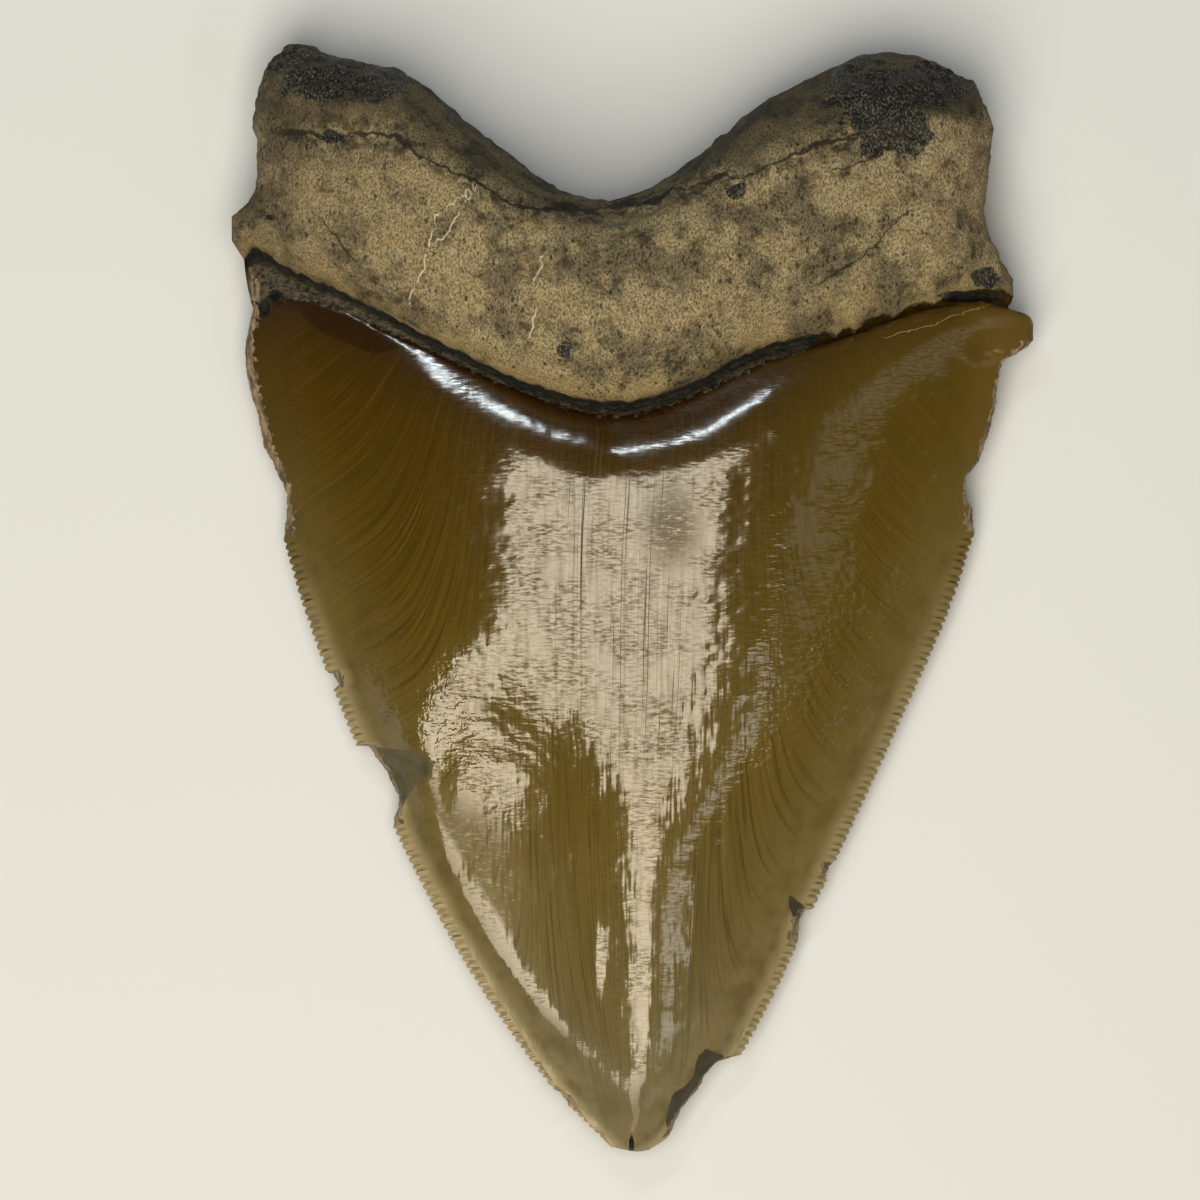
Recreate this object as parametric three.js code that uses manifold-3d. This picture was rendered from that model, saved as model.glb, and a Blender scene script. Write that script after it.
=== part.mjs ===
// A fossil shark tooth, lying on its flat outer face with the domed inner face up: a thick root with two
// lobes above a broad triangular crown, whose thin edges are serrated and, in places, broken away.
// Millimetres, +Z up. The root points to +Y and the tip to -Y, and the table is the plane Z = 0.

import * as THREE from "three";
import { mergeVertices } from "three/addons/utils/BufferGeometryUtils.js";
import Module from "manifold-3d";

// Lines of the plan, each through the few points where it turns.
const ROOT_LEFT = [
  [-44.6, 38.6], [-46, 42.6], [-43.6, 45.8], [-42.9, 50], [-43.1, 56], [-42, 61.2],
];
const ROOT_ARCH = [
  [-42, 61.2], [-38.7, 63.4], [-33, 61.9], [-26.2, 60.2], [-21, 56.1], [-10.6, 48.1], [-6.5, 46], [-2, 45.5],
  [2.5, 47.2], [11.7, 54], [15, 56.9], [22, 60.2], [28, 62.3], [35, 61.2], [38.9, 59.1],
];
const ROOT_RIGHT = [
  [43.8, 34.5], [43.5, 36.4], [41.6, 39.9], [40, 43.6], [40.4, 46.5], [41.1, 50.5], [40.9, 55], [38.9, 59.1],
];
const ROOT_LIP = [
  [-44.6, 38.6], [-41, 38.3], [-33.5, 35], [-20.9, 28.4], [-10.6, 23.8], [-2, 22.1],
  [5.4, 23.8], [14.6, 28.3], [23.8, 30.6], [33, 33.6], [41, 35.2], [43.8, 34.5],
];
const ENAMEL_TOP = [
  [-43.7, 33.2], [-40, 34.3], [-35.5, 33.7], [-28, 30.5], [-15.2, 24.5], [-7, 21.5], [-1.7, 20.7],
  [4, 21.9], [15.8, 27], [24, 29.6], [34, 33], [40, 33.8], [43.1, 33.2],
];
const CROWN_LEFT = [
  [-43.7, 33.2], [-44.6, 27.8], [-43.2, 20], [-40.2, 7.2], [-37.7, -1.4], [-34.2, -11], [-30.2, -20.5],
  [-25.4, -30.6], [-19.9, -40.9], [-14.3, -49.5], [-9.1, -56.4], [-5.4, -60.2], [-2.4, -63],
];
const CROWN_RIGHT = [
  [43.1, 33.2], [45.6, 32.2], [46, 30.4], [44.9, 25.5], [42.6, 18.5], [39.2, 7.2], [36.4, -1.4],
  [30.4, -15.1], [24.8, -27.2], [20.7, -35.9], [16.9, -44.3], [12.4, -52.6], [8.4, -57.8], [4.4, -61.7],
  [1.9, -63.3],
];
const TIP = [[-2.4, -63], [0.7, -63.5], [1.9, -63.3]];

// Heights above the table.
const EDGE = 3.3;
const TIP_EDGE = 4.4;
const ROOT_RIM = 8.5;
const CROWN_CREST = 18.4;
const TIP_CREST = 6.2;
const TIP_BELLY = 3.2;
const ROOT_CREST = 25;
const LOBE_CREST = 15.5;
const LIP_MIDDLE = 19;
const LIP_SHOULDER = 9.5;
const ROOT_HOLLOW = 1.2;

// How the faces turn.
const ROOT_ROUNDING = 6.5;
const BEVEL_HEIGHT = 1.5;
const BEVEL_WIDTH = 6;
const NECK_FALL = 2.8;
const NECK_REACH = 9;
const GROOVE_DEPTH = 0.8;

// Serrations: one notch every pitch, on the stretches of edge that are whole.
const PITCH = 0.86;
const NOTCH_DEPTH = 0.6;
const NOTCH_MOUTH = 0.44;
const SERRATED_FROM = { left: 6.8, right: 6.6 };
const SERRATED_TO = { left: -61.8, right: -52 };

// Broken places on the edges: where along Y, how long and how deep in from the edge.
const CHIPS = [
  { side: "left", y: 11.5, length: 7, depth: 1.4 },
  { side: "left", y: -9.6, length: 2, depth: 0.8 },
  { side: "left", y: -21.7, length: 8.8, depth: 1.9 },
  { side: "left", y: -57.6, length: 2.2, depth: 0.5 },
  { side: "right", y: 23.6, length: 10.6, depth: 2.7 },
  { side: "right", y: 14.2, length: 14, depth: 2.3 },
  { side: "right", y: -31.2, length: 1.8, depth: 0.5 },
  { side: "right", y: -38.4, length: 5.4, depth: 0.9 },
  { side: "right", y: -56.8, length: 10.4, depth: 1.9 },
];

// Shallow scars where a flake has come off the domed face beside a chip. lean is how the face tilts there.
const FLAKES = [
  { x: -27.2, y: -19.9, radius: 4, bite: 0.7, lean: [-0.42, -0.1] },
  { x: 7.8, y: -55.6, radius: 3.4, bite: 0.6, lean: [0.4, -0.35] },
  { x: 19.4, y: -36.4, radius: 1.7, bite: 0.4, lean: [0.35, -0.1] },
];

// Narrow openings: the slit below the left end of the root's lip and the split in the tip.
const SLIT = { x: -42.6, y: 39, z: 8.8, halfLength: 2, halfWidth: 0.7, halfDepth: 3 };
const TIP_SPLIT = { x: -0.1, y: -63.4, z: 6.4, halfLength: 1.6, halfWidth: 0.45, halfDepth: 2.2 };

// Rows and columns of the facets.
const COLUMNS = 34;
const ROOT_ROWS = 12;
const CROWN_ROWS = 30;
const ROOT_CROWDING = 1.6;

const { clamp, lerp, smoothstep } = THREE.MathUtils;

const wasm = await Module();
wasm.setup();

function lineThrough(points) {
  const corners = points.map(([x, y]) => new THREE.Vector3(x, y, 0));
  const curve = new THREE.CatmullRomCurve3(corners, false, "centripetal");
  curve.arcLengthDivisions = 400;
  return curve;
}

const rootLeft = lineThrough(ROOT_LEFT);
const rootArch = lineThrough(ROOT_ARCH);
const rootRight = lineThrough(ROOT_RIGHT);
const rootLip = lineThrough(ROOT_LIP);
const enamelTop = lineThrough(ENAMEL_TOP);
const crownEdge = { left: lineThrough(CROWN_LEFT), right: lineThrough(CROWN_RIGHT) };
const tip = lineThrough(TIP);

// A patch between four lines: u runs across it from left to right, v from its near line to its far line.
function patchPoint(near, far, left, right, u, v) {
  const across = near.getPointAt(u).lerp(far.getPointAt(u), v);
  const along = left.getPointAt(v).lerp(right.getPointAt(v), u);
  const nearChord = near.getPointAt(0).lerp(near.getPointAt(1), u);
  const farChord = far.getPointAt(0).lerp(far.getPointAt(1), u);
  return across.add(along).sub(nearChord.lerp(farChord, v));
}

const rootOutline = [rootLeft, rootArch, rootRight].flatMap((curve) => curve.getSpacedPoints(80));

function distanceToRootOutline(point) {
  return Math.min(...rootOutline.map((other) => point.distanceTo(other)));
}

// 0 at a rounded edge, 1 once the quarter circle has been climbed.
function roundOver(distance, radius) {
  const left = 1 - clamp(distance / radius, 0, 1);
  return Math.sqrt(1 - left * left);
}

// Height of the outline itself: the crown's sharp edge, rising to the widest line of the root.
function rimHeight(y) {
  const towardsTip = smoothstep(-y, 35, 63.5);
  const towardsRoot = smoothstep(y, 15, 48);
  return EDGE + (TIP_EDGE - EDGE) * towardsTip + (ROOT_RIM - EDGE) * towardsRoot;
}

function crownCrest(y) {
  const down = clamp((18 - y) / 81.5, 0, 1);
  return CROWN_CREST - (CROWN_CREST - TIP_CREST) * down ** 1.55;
}

// The domed face of the crown: a broad dome that narrows to a ridge near the tip, with a bevel along each
// edge and a fall into the neck below the root.
function crownHeight(point, u, halfWidth, belowEnamelTop) {
  const side = Math.abs(2 * u - 1);
  const rim = rimHeight(point.y);
  const narrow = smoothstep(-point.y, 0, 55);
  const dome = (1 - side ** lerp(2.6, 1.6, narrow)) ** 1.6;
  const bevelHeight = BEVEL_HEIGHT * smoothstep(point.y, -63, -50);
  const bevel = 1 - (1 - clamp(((1 - side) * halfWidth) / BEVEL_WIDTH, 0, 1)) ** 2;
  const neck = NECK_FALL * (1 - clamp(belowEnamelTop / NECK_REACH, 0, 1)) ** 2 * (1 - side ** 2);
  return rim + bevelHeight * bevel + (crownCrest(point.y) - rim - bevelHeight) * dome - neck;
}

// The domed face of the root: it climbs from the lip to a bulge and falls again towards the arch.
function rootHeight(point, u, t) {
  const side = Math.abs(2 * u - 1);
  const middle = 1 - side ** 1.7;
  const lip = lerp(LIP_SHOULDER, LIP_MIDDLE, middle);
  const crest = lerp(LOBE_CREST, ROOT_CREST, middle);
  const climb = Math.sin((clamp(t / 0.45, 0, 1) * Math.PI) / 2);
  const fall = 3 * clamp((t - 0.45) / 0.55, 0, 1) ** 2;
  const rim = rimHeight(point.y);
  const full = lip + (crest - lip) * climb - fall;
  return rim + (full - rim) * roundOver(distanceToRootOutline(point), ROOT_ROUNDING);
}

// The flat face: it lies on the table along the middle, and lifts to the crown's edges and the root's rim.
function flatFaceHeight(point, u) {
  const side = Math.abs(2 * u - 1);
  const rim = rimHeight(point.y);
  const tipBelly = TIP_BELLY * clamp((-35 - point.y) / 28.5, 0, 1) ** 2;
  const hollow = ROOT_HOLLOW * Math.exp(-(((point.x + 1) / 13) ** 2) - ((point.y - 45) / 8) ** 2);
  const crownFlat = 1 - clamp((side - 0.35) / 0.65, 0, 1) ** 1.8;
  const rootFlat = roundOver(distanceToRootOutline(point), ROOT_ROUNDING);
  const flat = lerp(crownFlat, rootFlat, smoothstep(point.y, 26, 40));
  return rim - (rim - tipBelly - hollow) * flat;
}

// Columns crowd towards both sides, where the faces turn fastest.
function columnPosition(column) {
  const even = column / COLUMNS;
  const crowded = 0.5 - 0.5 * Math.cos(Math.PI * even);
  return lerp(even, crowded, 0.7);
}

// Each row holds plan points with their two heights, from the arch of the root down to the tip.
function buildRows() {
  const positions = Array.from({ length: COLUMNS + 1 }, (_, column) => columnPosition(column));
  const rows = [];
  for (let row = 0; row <= ROOT_ROWS; row += 1) {
    const t = 1 - (row / ROOT_ROWS) ** ROOT_CROWDING;
    rows.push(positions.map((u) => {
      const point = patchPoint(rootLip, rootArch, rootLeft, rootRight, u, t);
      return { point, upper: rootHeight(point, u, t), lower: flatFaceHeight(point, u) };
    }));
  }
  const groove = positions.map((u) => {
    const enamel = enamelTop.getPointAt(u);
    const point = rootLip.getPointAt(u).lerp(enamel, 0.25);
    const upper = crownHeight(enamel, u, 44, 0) - GROOVE_DEPTH;
    return { point, upper, lower: flatFaceHeight(point, u) };
  });
  rows.push(groove);
  for (let row = 0; row <= CROWN_ROWS; row += 1) {
    const v = row / CROWN_ROWS;
    const halfWidth = crownEdge.left.getPointAt(v).distanceTo(crownEdge.right.getPointAt(v)) / 2;
    rows.push(positions.map((u) => {
      const point = patchPoint(enamelTop, tip, crownEdge.left, crownEdge.right, u, v);
      const belowEnamelTop = enamelTop.getPointAt(u).y - point.y;
      const upper = crownHeight(point, u, halfWidth, belowEnamelTop);
      return { point, upper, lower: flatFaceHeight(point, u) };
    }));
  }
  return rows;
}

// The upper and lower faces share the points of the outline, so the two close into one skin.
function toothGeometry(rows) {
  const lastRow = rows.length - 1;
  const positions = [];
  const upperIndex = [];
  const lowerIndex = [];
  rows.forEach((row, r) => {
    upperIndex.push([]);
    lowerIndex.push([]);
    row.forEach(({ point, upper, lower }, c) => {
      const onOutline = r === 0 || r === lastRow || c === 0 || c === COLUMNS;
      const height = onOutline ? rimHeight(point.y) : upper;
      upperIndex[r].push(positions.length / 3);
      positions.push(point.x, point.y, height);
      if (onOutline) {
        lowerIndex[r].push(upperIndex[r][c]);
        return;
      }
      lowerIndex[r].push(positions.length / 3);
      positions.push(point.x, point.y, Math.max(0, lower));
    });
  });
  const triangles = [];
  for (let r = 0; r < lastRow; r += 1) {
    for (let c = 0; c < COLUMNS; c += 1) {
      const corners = [[r, c], [r + 1, c], [r + 1, c + 1], [r, c + 1]];
      const [a, b, d, e] = corners.map(([i, j]) => upperIndex[i][j]);
      triangles.push(a, b, d, a, d, e);
      const [k, l, m, n] = corners.map(([i, j]) => lowerIndex[i][j]);
      triangles.push(k, m, l, k, n, m);
    }
  }
  const geometry = new THREE.BufferGeometry();
  geometry.setAttribute("position", new THREE.Float32BufferAttribute(positions, 3));
  geometry.setIndex(triangles);
  return geometry;
}

function toSolid(geometry) {
  const bare = geometry.clone();
  bare.deleteAttribute("normal");
  bare.deleteAttribute("uv");
  const welded = mergeVertices(bare, 1e-4);
  const mesh = new wasm.Mesh({
    numProp: 3,
    vertProperties: new Float32Array(welded.attributes.position.array),
    triVerts: new Uint32Array(welded.index.array),
  });
  return new wasm.Manifold(mesh);
}

// The point of a crown edge at a given Y, with the directions along the edge and out of the tooth.
function edgeFrame(side, y) {
  const curve = crownEdge[side];
  let above = 0;
  let below = 1;
  for (let step = 0; step < 30; step += 1) {
    const middle = (above + below) / 2;
    if (curve.getPointAt(middle).y > y) {
      above = middle;
    } else {
      below = middle;
    }
  }
  const along = curve.getTangentAt(above);
  const out = new THREE.Vector3(along.y, -along.x, 0).multiplyScalar(side === "left" ? 1 : -1);
  return { at: above, point: curve.getPointAt(above), along, out };
}

// A chip is bitten out by an upright drum whose arc has the chip's length and depth.
function chipCutter({ side, y, length, depth }) {
  const { point, out } = edgeFrame(side, y);
  const radius = (length ** 2 / 4 + depth ** 2) / (2 * depth);
  const centre = point.clone().addScaledVector(out, radius - depth);
  const drum = new THREE.CylinderGeometry(radius, radius, 40, 40);
  drum.rotateX(Math.PI / 2);
  drum.translate(centre.x, centre.y, 10);
  return toSolid(drum);
}

function ballCutter(x, y, z, halfX, halfY, halfZ) {
  const ball = new THREE.SphereGeometry(1, 14, 10);
  ball.scale(halfX, halfY, halfZ);
  ball.translate(x, y, z);
  return toSolid(ball);
}

// A flake scar is the cap of a large ball that dips its bite below the face.
function flakeCutter({ x, y, radius, bite, lean }) {
  const ballRadius = (radius ** 2 + bite ** 2) / (2 * bite);
  const normal = new THREE.Vector3(lean[0], lean[1], 1).normalize();
  const centre = new THREE.Vector3(x, y, upperHeightAt(x, y)).addScaledVector(normal, ballRadius - bite);
  const ball = new THREE.SphereGeometry(ballRadius, 40, 28);
  ball.translate(centre.x, centre.y, centre.z);
  return toSolid(ball);
}

// A three-cornered notch across the edge, its point towards the middle of the crown.
function notchCutter(point, along, out) {
  const inner = point.clone().addScaledVector(out, -NOTCH_DEPTH);
  const mouth = point.clone().addScaledVector(out, NOTCH_DEPTH);
  const first = mouth.clone().addScaledVector(along, NOTCH_MOUTH);
  const second = mouth.clone().addScaledVector(along, -NOTCH_MOUTH);
  const shape = new THREE.Shape([inner, first, second].map(({ x, y }) => new THREE.Vector2(x, y)));
  const wedge = new THREE.ExtrudeGeometry(shape, { depth: 12, bevelEnabled: false });
  wedge.translate(0, 0, -2);
  return toSolid(wedge);
}

function isBroken(side, y) {
  return CHIPS.some((chip) => chip.side === side && Math.abs(y - chip.y) < chip.length / 2);
}

function serrationCutters(side) {
  const curve = crownEdge[side];
  const length = curve.getLength();
  const start = edgeFrame(side, SERRATED_FROM[side]).at * length;
  const end = edgeFrame(side, SERRATED_TO[side]).at * length;
  const cutters = [];
  for (let s = start; s < end; s += PITCH) {
    const point = curve.getPointAt(s / length);
    if (isBroken(side, point.y)) {
      continue;
    }
    const along = curve.getTangentAt(s / length);
    const out = new THREE.Vector3(along.y, -along.x, 0).multiplyScalar(side === "left" ? 1 : -1);
    cutters.push(notchCutter(point, along, out));
  }
  return cutters;
}

const rows = buildRows();
const whole = toSolid(toothGeometry(rows));

function upperHeightAt(x, y) {
  const nearest = rows.flat().reduce((best, spot) => {
    const distance = Math.hypot(spot.point.x - x, spot.point.y - y);
    return distance < best.distance ? { distance, upper: spot.upper } : best;
  }, { distance: Infinity, upper: 0 });
  return nearest.upper;
}

const openings = [SLIT, TIP_SPLIT].map(({ x, y, z, halfLength, halfWidth, halfDepth }, index) => {
  const acrossX = index === 0;
  return ballCutter(x, y, z, acrossX ? halfLength : halfWidth, acrossX ? halfWidth : halfLength, halfDepth);
});

const cutters = [
  ...CHIPS.map(chipCutter),
  ...FLAKES.map(flakeCutter),
  ...openings,
  ...serrationCutters("left"),
  ...serrationCutters("right"),
];
const solid = whole.subtract(wasm.Manifold.union(cutters)).simplify(0.02);

const { vertProperties, triVerts } = solid.getMesh();
const skin = new THREE.BufferGeometry();
skin.setAttribute("position", new THREE.BufferAttribute(vertProperties, 3));
skin.setIndex(new THREE.BufferAttribute(triVerts, 1));
skin.computeVertexNormals();

const fossil = new THREE.MeshStandardMaterial({ color: 0x6b5a2a, roughness: 0.35, metalness: 0 });
const tooth = new THREE.Mesh(skin, fossil);
tooth.name = "tooth";

const group = new THREE.Group();
group.add(tooth);

export default group;
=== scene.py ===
# %% [markdown]
# # A fossil shark tooth
# A shark's tooth grows as one piece: a thick, porous root, and over it a crown of glossy enamel with saw
# edges. So this lesson makes one mesh. It could be sculpted, but a tooth follows simple rules, so its two
# faces are worked out from a plan and a few heights, and the wear is put on afterwards. Sizes are in
# millimetres until the mesh is made.

import bpy
import numpy as np
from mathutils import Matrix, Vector


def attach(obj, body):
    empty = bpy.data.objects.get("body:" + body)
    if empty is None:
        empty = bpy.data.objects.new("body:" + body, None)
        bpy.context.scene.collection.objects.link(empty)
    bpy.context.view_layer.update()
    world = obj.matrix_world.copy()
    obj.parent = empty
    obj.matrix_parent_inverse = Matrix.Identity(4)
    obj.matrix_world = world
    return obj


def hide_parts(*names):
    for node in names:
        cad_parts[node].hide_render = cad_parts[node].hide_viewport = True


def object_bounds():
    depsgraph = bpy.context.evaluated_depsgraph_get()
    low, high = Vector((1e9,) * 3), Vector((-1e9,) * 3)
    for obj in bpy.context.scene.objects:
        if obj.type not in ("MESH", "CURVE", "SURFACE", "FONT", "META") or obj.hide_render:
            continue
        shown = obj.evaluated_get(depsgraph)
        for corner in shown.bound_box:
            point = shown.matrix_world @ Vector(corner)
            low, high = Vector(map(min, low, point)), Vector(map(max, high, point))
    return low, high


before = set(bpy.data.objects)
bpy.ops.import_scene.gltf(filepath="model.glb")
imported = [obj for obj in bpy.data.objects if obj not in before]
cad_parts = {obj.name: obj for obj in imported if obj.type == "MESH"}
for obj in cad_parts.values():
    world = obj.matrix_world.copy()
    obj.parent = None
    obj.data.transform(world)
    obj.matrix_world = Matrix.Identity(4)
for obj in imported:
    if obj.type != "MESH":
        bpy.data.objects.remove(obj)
cad_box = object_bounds()

# %% [markdown]
# ## The plan
# Seen from above, the tooth is a handful of smooth lines: the two sides and the arch of the root, the lip
# where the root ends, the line where the enamel begins, and the crown's two edges. Each line needs only the
# points where it turns. The spline used here runs through its points, unlike Blender's curves with handles,
# whose handles would have to be guessed.

# %% Lines of the plan
ROOT_LEFT = [(-44.6, 38.6), (-46, 42.6), (-43.6, 45.8), (-42.9, 50), (-43.1, 56), (-42, 61.2)]
ROOT_ARCH = [
    (-42, 61.2), (-38.7, 63.4), (-33, 61.9), (-26.2, 60.2), (-21, 56.1), (-10.6, 48.1), (-6.5, 46),
    (-2, 45.5), (2.5, 47.2), (11.7, 54), (15, 56.9), (22, 60.2), (28, 62.3), (35, 61.2), (38.9, 59.1)]
ROOT_RIGHT = [
    (43.8, 34.5), (43.5, 36.4), (41.6, 39.9), (40, 43.6), (40.4, 46.5), (41.1, 50.5), (40.9, 55),
    (38.9, 59.1)]
ROOT_LIP = [
    (-44.6, 38.6), (-43.4, 39.8), (-41.4, 39.2), (-39.4, 37.9), (-33.5, 35), (-20.9, 28.4), (-10.6, 23.8),
    (-2, 22.1), (5.4, 23.8), (14.6, 28.3), (23.8, 30.6), (33, 33.6), (41, 35.2), (43.8, 34.5)]
ENAMEL_TOP = [
    (-43.7, 33.2), (-40, 34.3), (-35.5, 33.7), (-28, 30.5), (-15.2, 24.5), (-7, 21.5), (-1.7, 20.7),
    (4, 21.9), (15.8, 27), (24, 29.6), (34, 33), (40, 33.8), (43.1, 33.2)]
CROWN_LEFT = [
    (-43.7, 33.2), (-44.6, 27.8), (-43.2, 20), (-40.2, 7.2), (-37.7, -1.4), (-34.2, -11), (-30.2, -20.5),
    (-25.4, -30.6), (-19.9, -40.9), (-14.3, -49.5), (-9.1, -56.4), (-5.4, -60.2), (-2.4, -63)]
CROWN_RIGHT = [
    (43.1, 33.2), (45.6, 32.2), (46, 30.4), (44.9, 25.5), (42.6, 18.5), (39.2, 7.2), (36.4, -1.4),
    (30.4, -15.1), (24.8, -27.2), (20.7, -35.9), (16.9, -44.3), (12.4, -52.6), (8.4, -57.8), (4.4, -61.7),
    (1.9, -63.3)]
TIP = [(-2.4, -63), (0.7, -63.5), (1.9, -63.3)]


def smooth_line(points, cuts=40):
    """A smooth line through the points, as a finely cut chain."""
    p = np.array(points, float)
    p = np.vstack([2 * p[0] - p[1], p, 2 * p[-1] - p[-2]])
    gap = np.sqrt(np.linalg.norm(np.diff(p, axis=0), axis=1))
    t = np.linspace(0, 1, cuts, endpoint=False)[:, None]
    chain = []
    for i in range(1, len(p) - 2):
        a, b, c, d = p[i - 1:i + 3]
        before, here, after = gap[i - 1:i + 2]
        leave = ((b - a) / before - (c - a) / (before + here) + (c - b) / here) * here
        arrive = ((c - b) / here - (d - b) / (here + after) + (d - c) / after) * here
        chain.append(b + leave * t + (3 * (c - b) - 2 * leave - arrive) * t**2
                     + (2 * (b - c) + leave + arrive) * t**3)
    return np.vstack(chain + [p[-2:-1]])


def length_along(chain):
    return np.concatenate([[0], np.cumsum(np.linalg.norm(np.diff(chain, axis=0), axis=1))])


def walk(chain, fraction):
    """The points at these fractions of a chain's length."""
    along = length_along(chain)
    return np.stack([np.interp(fraction * along[-1], along, chain[:, k]) for k in (0, 1)], axis=-1)


root_left, root_arch, root_right = (smooth_line(p) for p in (ROOT_LEFT, ROOT_ARCH, ROOT_RIGHT))
root_lip, enamel_top, tip = (smooth_line(p) for p in (ROOT_LIP, ENAMEL_TOP, TIP))
crown_left, crown_right = smooth_line(CROWN_LEFT), smooth_line(CROWN_RIGHT)
print("crown edges, mm:", length_along(crown_left)[-1].round(1), length_along(crown_right)[-1].round(1))

# %% [markdown]
# ## Rows and columns
# A tooth has a grain that runs from root to tip, so the mesh follows it: columns run down the tooth and rows
# across it. A patch that is blended from the four lines around it fills the space in that way. The root is
# one patch and the crown another, with the narrow neck band between them. Columns crowd towards the sides,
# where the faces turn over, and the crown's rows are cut four times finer in the few columns along each
# edge, where the saw teeth go.

# %% Fill the plan
COLUMNS = 144
RIM_COLUMNS = 9
ROOT_ROWS, BAND_ROWS, CROWN_ROWS = 72, 8, 150
RIM_CUTS = 4
EVEN, CROWDED = 0.45, 0.55


def patch(near, far, left, right, u, v):
    """Plan points between four lines: u runs from left to right, v from the near line to the far one."""
    u, v = np.broadcast_arrays(u, v)
    across = (1 - v)[..., None] * walk(near, u) + v[..., None] * walk(far, u)
    along = (1 - u)[..., None] * walk(left, v) + u[..., None] * walk(right, v)
    near_chord = near[0] + u[..., None] * (near[-1] - near[0])
    far_chord = far[0] + u[..., None] * (far[-1] - far[0])
    return across + along - near_chord - v[..., None] * (far_chord - near_chord)


even = np.linspace(0, 1, COLUMNS + 1)
column_at = EVEN * even + CROWDED * (0.5 - 0.5 * np.cos(np.pi * even))
root_at = (1 - np.linspace(0, 1, ROOT_ROWS + 1)**1.35)[:, None]
crown_at = np.linspace(0, 1, CROWN_ROWS * RIM_CUTS + 1)[:, None]
print("columns", len(column_at), "rows", ROOT_ROWS + BAND_ROWS + CROWN_ROWS)

# %% [markdown]
# ## Broken edges
# Long burial has broken the thin edges. Along each edge, pairs of a place and a depth say how far it is
# broken back. Cutting with booleans would leave a messy mesh, so a bite instead slides the outermost columns
# inwards: the face keeps its height there, and the edge becomes a blunt, ragged wall, as on the real tooth.

# %% Chips along the crown's edges
BITES = {
    "left": [
        (33.6, 0), (33, 0.2), (23.5, 0.2), (20.5, 0.45), (17.5, 0.3), (15, 0.95), (11.3, 1.65), (8.5, 0.8),
        (6.6, 0), (-8.6, 0), (-8.9, 0.7), (-10.2, 0.9), (-10.6, 0), (-17, 0), (-17.3, 1.3), (-20.2, 2),
        (-23.2, 2.1), (-24.4, 1.6), (-25.4, 0.65), (-26.4, 0), (-56.3, 0), (-56.7, 0.45), (-57.8, 0.45),
        (-58.2, 0)],
    "right": [
        (29.5, 0), (28.6, 0.6), (27.6, 1.6), (26.6, 2.7), (24.7, 2.7), (21.4, 1.9), (18.3, 1.7), (15, 1.9),
        (13.5, 2.75), (11.1, 2), (10, 1.05), (7.4, 0), (-30.4, 0), (-30.8, 0.5), (-31.8, 0.5), (-32.1, 0),
        (-35.7, 0), (-35.9, 0.8), (-37.1, 1), (-38.2, 0.6), (-39.1, 0.2), (-40.5, 0), (-52.4, 0),
        (-53.2, 2.4), (-54.6, 2.7), (-56.3, 2.2), (-58.4, 2.3), (-60.4, 1.1), (-61.3, 0.5), (-62.2, 0)],
}
BITE_REACH = 3.4


def ragged(along, seed):
    """A jagged, repeatable wiggle between about -1 and 1."""
    waves = [(2.1, 0.35), (4.7, 0.3), (9.3, 0.22), (17.9, 0.15), (31, 0.1)]
    return sum(size * np.sin(pace * along + seed * (k + 1.7)) for k, (pace, size) in enumerate(waves))


def bite(side, y):
    """How far the edge is broken back at y."""
    place, depth = np.array(sorted(BITES[side])).T
    plain = np.interp(y, place, depth)
    return plain * (1 + 0.12 * ragged(y, len(side)) / np.maximum(plain, 0.4))


def bitten_columns(u, v, half_width):
    """Slide the columns near both edges in by the bite."""
    reach = np.minimum(BITE_REACH, 0.6 * half_width)
    moved = {}
    for side, line, share in (("left", crown_left, u), ("right", crown_right, 1 - u)):
        gap = 2 * share * half_width
        depth = np.minimum(bite(side, walk(line, v)[..., 1]), 0.85 * reach)
        moved[side] = np.where(gap < reach, depth + gap * (1 - depth / reach), gap) / (2 * half_width)
    return np.where(u <= 0.5, moved["left"], 1 - moved["right"])


print("turns in the broken edges", {side: len(pairs) for side, pairs in BITES.items()})

# %% [markdown]
# ## Heights
# Formulas give the height of each point of the plan, for the domed face and for the flat face that the
# tooth lies on. They work for any number of rows, where a sculpted mesh would fix one resolution. They
# start from a few heights above the table and from the outline's own height, low at the thin edges and
# higher at the root.

# %% Heights above the table
EDGE, TIP_EDGE, ROOT_RIM = 3.3, 4.4, 8.5
CROWN_CREST, TIP_CREST, TIP_BELLY = 18.4, 6.2, 3.2
ROOT_CREST, LOBE_CREST, LIP_MIDDLE, LIP_SHOULDER, ROOT_HOLLOW = 24.7, 15.5, 19, 9.5, 1.2
ROOT_ROUNDING = 6.5


def step(value, start, end):
    """0 before start, 1 after end, and smooth between them."""
    t = np.clip((value - start) / (end - start), 0, 1)
    return t * t * (3 - 2 * t)


def round_over(distance, radius):
    """0 at a rounded edge, 1 once its quarter circle has been climbed."""
    return np.sqrt(1 - (1 - np.clip(distance / radius, 0, 1))**2)


def rim_height(y):
    """Height of the outline itself."""
    return EDGE + (TIP_EDGE - EDGE) * step(-y, 35, 63.5) + (ROOT_RIM - EDGE) * step(y, 15, 48)


root_outline = np.vstack([walk(line, np.linspace(0, 1, 160)) for line in (root_left, root_arch, root_right)])


def from_root_outline(plan):
    """Distance of plan points from the root's outline."""
    nearest = np.full(plan.shape[:-1], np.inf)
    for spot in root_outline:
        nearest = np.minimum(nearest, np.hypot(plan[..., 0] - spot[0], plan[..., 1] - spot[1]))
    return nearest


print("crest heights", CROWN_CREST, ROOT_CREST)

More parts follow.
